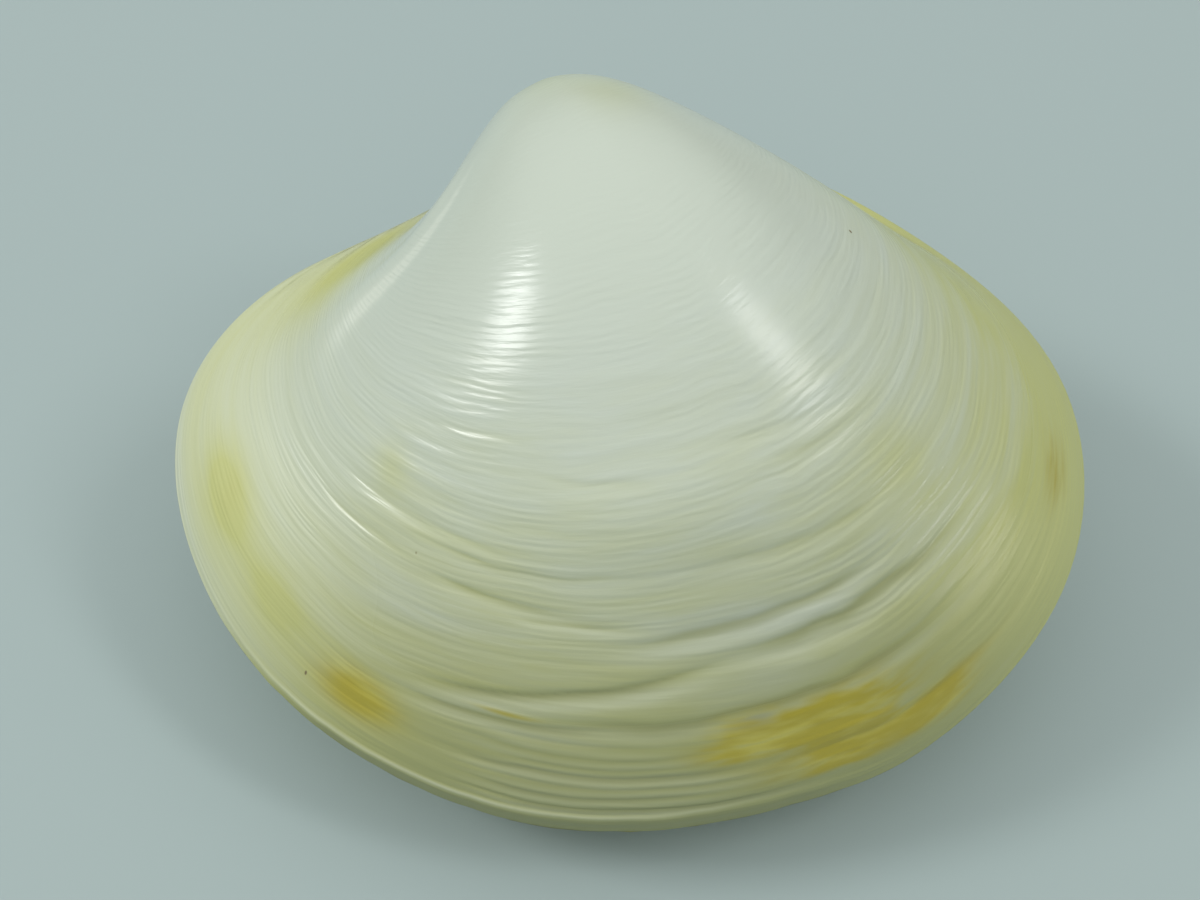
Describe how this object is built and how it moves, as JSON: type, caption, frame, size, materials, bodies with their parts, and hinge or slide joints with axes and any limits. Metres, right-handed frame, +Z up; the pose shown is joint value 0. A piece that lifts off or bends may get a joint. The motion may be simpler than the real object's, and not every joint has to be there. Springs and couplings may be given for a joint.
{
  "type": "venus clam shell",
  "caption": "Closed clam shell: inflated, finely ringed cream-white valves with beaks curled over the hinge, lying on its side.",
  "frame": {"origin": "middle of the bounding box's base, on the surface the shell rests on", "axes": "+X towards the posterior end, along the shell; +Y towards the hinge and beaks; +Z up"},
  "size_m": [0.038, 0.0314, 0.0214],
  "materials": {
    "upper_shell": "gloss",
    "lower_shell": "gloss",
    "horn": "satin"
  },
  "bodies": {
    "root": {"left_valve": "upper_shell", "right_valve": "lower_shell", "ligament": "horn"}
  },
  "joints": []
}
